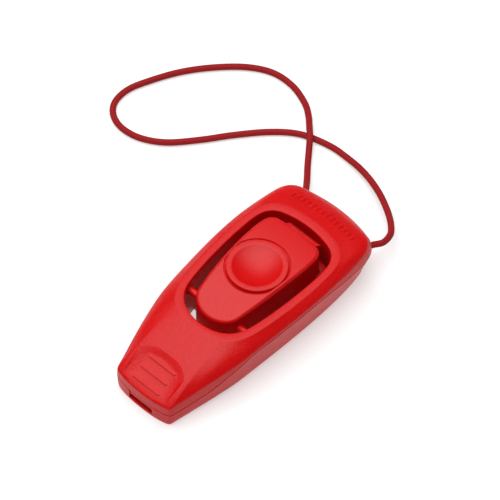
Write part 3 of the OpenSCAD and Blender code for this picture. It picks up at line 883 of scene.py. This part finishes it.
# %% Cut the airway, the screw holes and the cord holes
SLOT_HALF_W = 4.5
AIRWAY = [(-OUTSIDE_X, 1.0), (-29, 1.0), (-29, -1), (-22.2, -1), (-24, 1.6), (-19.4, 1.6),
          (-19.4, 8.2), (-29, 8.2), (-29, 4.8), (-36, 4.8), (-36.4, 7), (-OUTSIDE_X, 7)]
SCREWS = [(-19.8, 10.0), (-19.8, -10.0), (34.4, 5.4), (34.4, -5.4)]
RECESS_R, RECESS_Z, SCREW_HOLE_R = 2.3, 2.2, 1.25
CORD_HOLE_R, CORD_Y, CORD_Z = 1.15, 13.0, 7.5
POCKET_R, POCKET_X0, POCKET_X1 = 1.8, 32.2, 37.9
ALONG_X = Matrix.Rotation(math.radians(90), 4, "Y")


def side_view(outline, half_width):
    """A closed skin from an outline in side view, as wide as the cut."""
    near = [(x, -half_width, z) for x, z in outline]
    far = [(x, half_width, z) for x, z in outline]
    points, faces = loft([near, far])
    n = len(outline)
    return points, faces + [list(range(n))[::-1], list(range(n, 2 * n))]


carve(lower, solid("airway_tool", side_view(AIRWAY, SLOT_HALF_W)))
hole = turned([(0, -1), (RECESS_R + 0.15, -1), (RECESS_R + 0.15, 0.0), (RECESS_R, 0.15),
               (RECESS_R, RECESS_Z), (SCREW_HOLE_R, RECESS_Z), (SCREW_HOLE_R, 9), (0, 9)], 40)
carve(lower, solid("screw_tool", *[moved(hole, Matrix.Translation((x, y, 0)))
                                   for x, y in SCREWS]))
bore = turned([(0, POCKET_X0), (POCKET_R, POCKET_X0), (POCKET_R, POCKET_X1),
               (CORD_HOLE_R, POCKET_X1), (CORD_HOLE_R, OUTSIDE_X), (0, OUTSIDE_X)], 36)
carve(lower, solid("cord_tool", *[moved(bore, Matrix.Translation((0, y, CORD_Z)) @ ALONG_X)
                                  for y in (CORD_Y, -CORD_Y)]))
carve(lower, bearing_tool())
finish_piece(lower, "housing", "shell_plastic", "lower_shell")

# %% [markdown]
# ## The button
#
# The button is a rocker with an arched top, a thumb dish inside a raised ring, and a fine groove
# round the ring. Every point of its outline is seen from the middle of the dish along a ray, and
# each ring of the top lies on those rays, so the round dish and the long outline share one skin
# without a twist. Underneath it is hollow, with a pusher that works the reed.

# %% Rings of the button, from the tip of the pusher to the bottom of the dish
DISH_X, RING_Z, RING_R, DISH_R, DISH_DEPTH = 6.7, 20.0, 9.05, 7.4, 1.7
CREST_X, CREST_Z, CREST_R = 9.7, 19.6, 125.0
BUTTON_EDGE_R, EDGE_SPREAD, BUTTON_WALL, CEILING_Z, SOLID_TO_X = 1.0, 0.35, 2.0, 15.4, -6.0
SKIRT_Z, SKIRT_END_X, BUTTON_FLOOR_Z = 7.0, 19.0, 10.0
GROOVE_W, GROOVE_DEPTH, RING_EDGE_R = 0.7, 0.5, 0.28
NUB_R, NUB_TIP_R, NUB_TIP_Z = 2.5, 5.0, 5.5
BUTTON_POINTS = (34, 70, 20, 20, 26)

edge = grown(closed(half(BUTTON, BUTTON_POINTS)), EDGE_SPREAD)
middle = np.array([DISH_X, 0.0])


def arch(x):
    return CREST_Z - CREST_R + np.sqrt(CREST_R**2 - (x - CREST_X)**2)


def on_top(plan, below=0.0):
    return lift(plan, arch(plan[:, 0]) - below)


def floor_z(plan):
    """Height of the button's lower edge: a skirt beside the reed, and a step over the clamp."""
    return np.interp(plan[:, 0], [SKIRT_END_X - 0.4, SKIRT_END_X], [SKIRT_Z, BUTTON_FLOOR_Z])


def round_dish(radius, z):
    """A circle round the dish, whose points lie on the rays to the outline."""
    ray = edge - middle
    ray /= np.linalg.norm(ray, axis=1)[:, None]
    return lift(middle + ray * np.broadcast_to(radius, len(edge))[:, None], z)


def groove_ring(radius, below):
    ring = round_dish(radius, 0)
    ring[:, 2] = arch(ring[:, 0]) - below
    return ring


nub = [round_dish(NUB_TIP_R * math.sin(a), NUB_TIP_Z + NUB_TIP_R * (1 - math.cos(a)))
       for a in np.radians([8, 16, 23, 30])]
cavity = grown(edge, -BUTTON_WALL)
cavity[:, 0] = np.maximum(cavity[:, 0], SOLID_TO_X)
below = [round_dish(NUB_R, CEILING_Z - 0.4), round_dish(NUB_R + 0.4, CEILING_Z),
         lift(mix(cavity, middle, 0.08), CEILING_Z), lift(cavity, CEILING_Z - 0.4),
         lift(cavity, floor_z(cavity)), lift(grown(edge, -0.15), floor_z(edge))]
flank = [lift(edge, mix(floor_z(edge) + 0.15, arch(edge[:, 0]) - BUTTON_EDGE_R, t))
         for t in (0, 0.33, 0.66, 1)]
roll = [on_top(grown(edge, -BUTTON_EDGE_R * (1 - math.cos(a))), BUTTON_EDGE_R * (1 - math.sin(a)))
        for a in quarter(8)[1:]]
reach = np.linalg.norm(roll[-1][:, :2] - middle, axis=1)
groove_r = np.minimum(RING_R + GROOVE_W, reach - 0.04)
groove_start = groove_ring(groove_r, 0)
field = [on_top(mix(roll[-1][:, :2], groove_start[:, :2], t)) for t in np.linspace(0.04, 0.97, 14)]
groove = [groove_start, groove_ring(mix(groove_r, RING_R, 0.3), 0.8 * GROOVE_DEPTH),
          groove_ring(mix(groove_r, RING_R, 0.8), GROOVE_DEPTH),
          groove_ring(RING_R, 0.8 * GROOVE_DEPTH)]
ring_roll = [round_dish(RING_R - RING_EDGE_R * (1 - math.cos(a)),
                        RING_Z - RING_EDGE_R * (1 - math.sin(a))) for a in quarter()]
dish_sphere = (DISH_R**2 + DISH_DEPTH**2) / (2 * DISH_DEPTH)


def dish_z(radius):
    return RING_Z - DISH_DEPTH + dish_sphere - math.sqrt(dish_sphere**2 - radius**2)


lip = [round_dish(mix(RING_R - RING_EDGE_R, DISH_R, t), RING_Z) for t in (0.25, 0.6, 0.94)]
dish = [round_dish(r, dish_z(r)) for r in DISH_R * np.linspace(0.985, 0.03, 34)]
bottom = [(DISH_X, 0, RING_Z - DISH_DEPTH)]
button_rings = ([[(DISH_X, 0, NUB_TIP_Z)], *nub, *below, *flank, *roll, *field, *groove,
                 *ring_roll, *lip, *dish, bottom])
button = solid("rocker_button", loft(button_rings), material=BUTTON_PLASTIC)
print("rings in the button:", len(button_rings))

# %% [markdown]
# The pegs cross the solid near end of the button, and a low lip with a sloping top runs along its
# far edge. Both are welded on.

# %% Weld on the pegs and the far lip
LIP_HALF_W, LIP_Y = 5.95, -1.35
LIP_PROFILE = [(22.6, 15.8), (25.6, 15.8), (25.8, 16.0), (25.8, 16.9), (25.65, 17.15),
               (24.1, 18.5), (23.6, 18.8), (22.6, 18.8)]
PEG_NECK_Y, PEG_FULL_Y = 11.8, 12.1

peg_end = [(PEG_NECK_R, PEG_NECK_Y), (PEG_R, PEG_FULL_Y), (PEG_R, PEG_REACH - 0.25),
           (PEG_R - 0.25, PEG_REACH), (0, PEG_REACH)]
peg_profile = [(r, -y) for r, y in reversed(peg_end)] + peg_end
pegs = moved(turned(peg_profile, 48), Matrix.Translation((PEG_X, 0, PEG_Z)) @ ALONG_Y)
carve(button, solid("pegs", pegs, material=BUTTON_PLASTIC), "UNION")
far_lip = moved(side_view(LIP_PROFILE, LIP_HALF_W), Matrix.Translation((0, LIP_Y, 0)))
carve(button, solid("far_lip", far_lip, material=BUTTON_PLASTIC), "UNION")
finish_piece(button, "button", "button_plastic", "click_button")

# %% [markdown]
# ## The reed, its clamp and the whistle insert
#
# The click comes from a strip of spring steel with a pressed dimple: pushed far enough, the dimple
# snaps through, and it snaps back when the button is let go. The strip is stamped, so its corners
# are rounded and its edges a little rolled. The clamp and the insert are small mouldings. Their
# shapes are right in the CAD, so a merged copy with soft edges is enough.

# %% The reed
REED_X0, REED_X1, REED_HALF_W, REED_Z, REED_T = -4.6, 26.4, 6.0, 5.0, 0.3
REED_CORNER_R, REED_EDGE, DIMPLE_R, DIMPLE_DEPTH = 1.2, 0.06, 4.2, 0.11
TAIL_HOLE_X, TAIL_HOLE_R = 23.2, 1.4


def evenly(outline, count):
    """A closed outline with its points spaced evenly."""
    loop = np.vstack([outline, outline[:1]])
    share = np.arange(count) / count
    return np.column_stack([np.interp(share, arc_share(loop), loop[:, c]) for c in (0, 1)])


def rounded_box(inset):
    """The strip's outline, with round corners, moved in a little."""
    radius = REED_CORNER_R - inset
    corners = [(REED_X1, 1, 0), (REED_X0, 1, 90), (REED_X0, -1, 180), (REED_X1, -1, 270)]
    points = []
    for x, side_sign, start in corners:
        centre = np.array([x - math.copysign(REED_CORNER_R, x),
                           side_sign * (REED_HALF_W - REED_CORNER_R)])
        for turn in np.radians(start + np.linspace(0, 90, 9)):
            points.append(centre + radius * np.array([math.cos(turn), math.sin(turn)]))
    return evenly(np.array(points), 176)


def dimple(share, z):
    ray = rounded_box(0) - middle
    ray /= np.linalg.norm(ray, axis=1)[:, None]
    return lift(middle + ray * DIMPLE_R * share, z - DIMPLE_DEPTH * (1 - share**2)**2)


under_z, top_z = REED_Z, REED_Z + REED_T
shares = np.linspace(0.08, 1, 10)
strip = [lift(rounded_box(REED_EDGE), under_z), lift(rounded_box(0), under_z + REED_EDGE),
         lift(rounded_box(0), top_z - REED_EDGE), lift(rounded_box(REED_EDGE), top_z)]
reed_rings = [pole(dimple(0, under_z)), *[dimple(s, under_z) for s in shares], *strip,
              *[dimple(s, top_z) for s in reversed(shares)], pole(dimple(0, top_z))]
reed = solid("spring_reed", loft(reed_rings), material=SPRING_STEEL)
tail_hole = turned([(0, 4), (TAIL_HOLE_R, 4), (TAIL_HOLE_R, 6), (0, 6)], 40)
carve(reed, solid("tail_tool", moved(tail_hole, Matrix.Translation((TAIL_HOLE_X, 0, 0)))))
finish_piece(reed, "reed", "spring_steel", "click_reed")


# %% The clamp and the insert, with soft edges
def softened(node, name, radius, material):
    """A merged copy of a CAD node with its edges rounded."""
    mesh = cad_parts[node].data.copy()
    shape = bmesh.new()
    shape.from_mesh(mesh)
    bmesh.ops.remove_doubles(shape, verts=shape.verts, dist=0.001 * MM)
    bmesh.ops.dissolve_limit(shape, angle_limit=math.radians(1), verts=shape.verts,
                             edges=shape.edges)
    shape.to_mesh(mesh)
    shape.free()
    mesh.materials.clear()
    mesh.materials.append(material)
    made = put_in_scene(name, mesh)
    bevel = made.modifiers.new("soft_edges", "BEVEL")
    bevel.width, bevel.segments, bevel.limit_method = radius * MM, 3, "ANGLE"
    bevel.angle_limit = math.radians(40)
    apply_modifiers(made)
    return made


clamp = softened("reed_clamp", "clamp_bridge", 0.12, INNER_PLASTIC)
finish_piece(clamp, "housing", "inner_plastic", "reed_clamp")
insert = softened("whistle_insert", "windway_insert", 0.10, INNER_PLASTIC)
finish_piece(insert, "housing", "inner_plastic", "whistle_insert")

# %% [markdown]
# ## Screws
#
# A self-tapping screw has a coarse thread, a flat head and a cross recess. Its thread is a skin of
# rings whose radius depends on the angle and the height together, which is what makes a helix. One
# screw is modelled, and Geometry Nodes set out its copies on the places where screws go.


# %% One screw
def threaded(head_r, head_h, thread_r, length, pitch, sides=26, steps=9):
    """A skin with its head down and its point up, with a helical thread."""
    angles, circle = unit_circle(sides)
    core = 0.72 * thread_r
    rings = [lift(circle * r, z) for r, z in [(0.5 * head_r, 0), (head_r - 0.2, 0), (head_r, 0.2),
                                              (head_r, head_h - 0.1), (head_r - 0.1, head_h)]]
    end = head_h + length
    for z in np.arange(head_h, end, pitch / steps):
        wave = np.abs(2 * ((z / pitch - angles / (2 * math.pi)) % 1) - 1)
        taper = min(1.0, (end - z) / (1.6 * thread_r))
        radius = (core + (thread_r - core) * np.clip(1.5 * wave - 0.5, 0, 1)) * taper
        rings.append(lift(circle * np.maximum(radius, 0.08)[:, None], z))
    return loft([[(0, 0, 0)], *rings, [(0, 0, end)]])


def cross_recess(made, half_span, half_width, depth):
    """Cut a tapered cross into the head, which faces down."""
    for turn in (0, 90):
        low = np.array([(half_span, half_width), (-half_span, half_width),
                        (-half_span, -half_width), (half_span, -half_width)])
        slot = capped(lift(low * 1.05, -0.05), lift(low * [0.55, 0.6], depth))
        carve(made, solid("slot", moved(slot, Matrix.Rotation(math.radians(turn), 4, "Z"))))


HEAD_H, CLAMP_HEAD_H = 1.3, 0.6
shell_thread = threaded(head_r=2.0, head_h=HEAD_H, thread_r=1.1, length=11.0, pitch=0.9)
clamp_thread = threaded(head_r=1.2, head_h=CLAMP_HEAD_H, thread_r=0.7, length=4.1, pitch=0.55,
                        sides=20, steps=7)
shell_screw = solid("shell_screw", shell_thread, material=ZINC)
cross_recess(shell_screw, 1.25, 0.36, 0.9)
clamp_screw = solid("clamp_screw", clamp_thread, material=SHADE_DARK_STEEL)
cross_recess(clamp_screw, 0.75, 0.22, 0.4)

# %% Set the screws out
setter = Machine("screws_at_places", Item=bpy.types.Object, Tilt=tuple,
                 Finish=bpy.types.Material)
setter.set_out(setter.shape, setter.size("Finish"), Rotation=setter.size("Tilt"))

CLAMP_SCREW_X, CLAMP_SCREW_Y, CLAMP_SCREW_TOP = 23.2, 7.6, 7.7
low_places = [(x * MM, y * MM, (RECESS_Z - HEAD_H) * MM) for x, y in SCREWS]
screws = setter.run("shell_screw_set", low_places, Item=shell_screw, Tilt=(0.0, 0.0, 0.0),
                    Finish=ZINC)
high_places = [(CLAMP_SCREW_X * MM, y * MM, CLAMP_SCREW_TOP * MM)
               for y in (CLAMP_SCREW_Y, -CLAMP_SCREW_Y)]
clamp_set = setter.run("clamp_screw_set", high_places, Item=clamp_screw,
                       Tilt=(math.pi, 0.0, 0.0), Finish=SHADE_DARK_STEEL)
for model in (shell_screw, clamp_screw):
    bpy.data.objects.remove(model)
finish_piece(screws, "housing", "screw_steel", "shell_screws")
finish_piece(clamp_set, "housing", "screw_steel", "clamp_screws")

# %% [markdown]
# ## Ferrules
#
# A ferrule is a short sleeve of soft metal. Four jaws press it onto the cord, so half way along it
# is pinched at four places, and its ends stay round.

# %% Two crimped ferrules
FERRULE_R, FERRULE_X0, FERRULE_X1, PINCH = 1.6, 33.2, 37.7, 0.3


def crimped(y):
    angles = np.arange(48) * math.pi / 24
    rings = []
    for x in np.linspace(FERRULE_X0, FERRULE_X1, 22):
        share = (x - FERRULE_X0) / (FERRULE_X1 - FERRULE_X0)
        pinch = PINCH * math.sin(math.pi * share)**2
        end_round = 0.12 * max(0, 1 - 12 * min(share, 1 - share))
        radius = FERRULE_R - end_round - pinch * (0.5 + 0.5 * np.cos(4 * angles))
        rings.append(np.column_stack([np.full(48, x), y + radius * np.cos(angles),
                                      CORD_Z + radius * np.sin(angles)]))
    return capped(*rings)


for side_name, y in (("left", CORD_Y), ("right", -CORD_Y)):
    ferrule = solid(f"crimped_ferrule_{side_name}", crimped(y), material=ALUMINIUM)
    finish_piece(ferrule, "housing", "ferrule_metal", f"cord_ferrule_{side_name}")

# %% [markdown]
# ## Fit the cord
#
# The cord's shading is smoothed all over, and it joins the housing in place of the CAD's cord,
# which is hidden. It goes back into the object, so its far end is the object.

finish_piece(cord, "housing", "cord_fabric", "wrist_cord", crease=180)

# %% [markdown]
# ## Floor and light
#
# The object lies on a table that is given a faint glow of its own. The glow is painted light, so
# shadows stay pale and close to the object. Under the window the glow is off, a patch of painted
# shade, so the table seen through it stays dark and the glow doesn't shine up through it. One soft
# light hangs a little behind the object, so the flat tops carry a soft sheen while the slopes to
# the left and right stay a deep red.

# %% A pale table and one soft light
FLOOR_SIZE, TABLE_GLOW = 3.0, 0.50
TABLE_DARK, TABLE_PALE = (0.54, 0.54, 0.54), (0.56, 0.56, 0.56)
UNLIT_X, UNLIT_HALF_L, UNLIT_HALF_W = 10.8 * MM, 17.7 * MM, 12.6 * MM
SURROUND = (0.08, 0.08, 0.08, 1)

plate = bpy.data.meshes.new("table")
edge_at = FLOOR_SIZE / 2
plate.from_pydata([(-edge_at, -edge_at, 0), (edge_at, -edge_at, 0), (edge_at, edge_at, 0),
                   (-edge_at, edge_at, 0)], [], [(0, 1, 2, 3)])
table = put_in_scene("table", plate)
# The table's glow is painted light, which keeps the shadows round the object pale.
paper = Finish("pale_table", Roughness=0.9, Specular_IOR_Level=0.1,
               Emission_Strength=TABLE_GLOW)
paper.vary("Base Color", paper.blend(paper.noise(2 * MM, 3), TABLE_DARK, TABLE_PALE))
axes = paper.add("ShaderNodeSeparateXYZ", {}, {0: paper.place})
# Painted shade: a box under the window where the table's glow is switched off.
painted_shade_patch = axes.math("LESS_THAN", abs(axes - UNLIT_X), UNLIT_HALF_L)
painted_shade_patch = painted_shade_patch * axes.math("LESS_THAN", abs(axes.other("Y")), UNLIT_HALF_W)
paper.vary("Emission Color", paper.blend(painted_shade_patch, (1.0, 1.0, 1.0), (0.0, 0.0, 0.0)))
plate.materials.append(paper.material)


def soft_light(name, across, beyond, above, size, power):
    """A square light, placed to the right of and beyond the object as the camera sees it."""
    lamp = put_in_scene(name, bpy.data.lights.new(name, "AREA"))
    lamp.data.size, lamp.data.energy = size, power
    lamp.location = right * across + level * beyond + Vector((0, 0, above))
    lamp.rotation_mode = "QUATERNION"
    lamp.rotation_quaternion = (-lamp.location).to_track_quat("-Z", "Y")


soft_light("overhead", across=-0.15, beyond=0.14, above=1.2, size=1.35, power=23)

world = bpy.data.worlds.new("surround")
bpy.context.scene.world = world
world.use_nodes = True
world.node_tree.nodes["Background"].inputs["Color"].default_value = SURROUND
bpy.context.scene.view_settings.view_transform = "Standard"
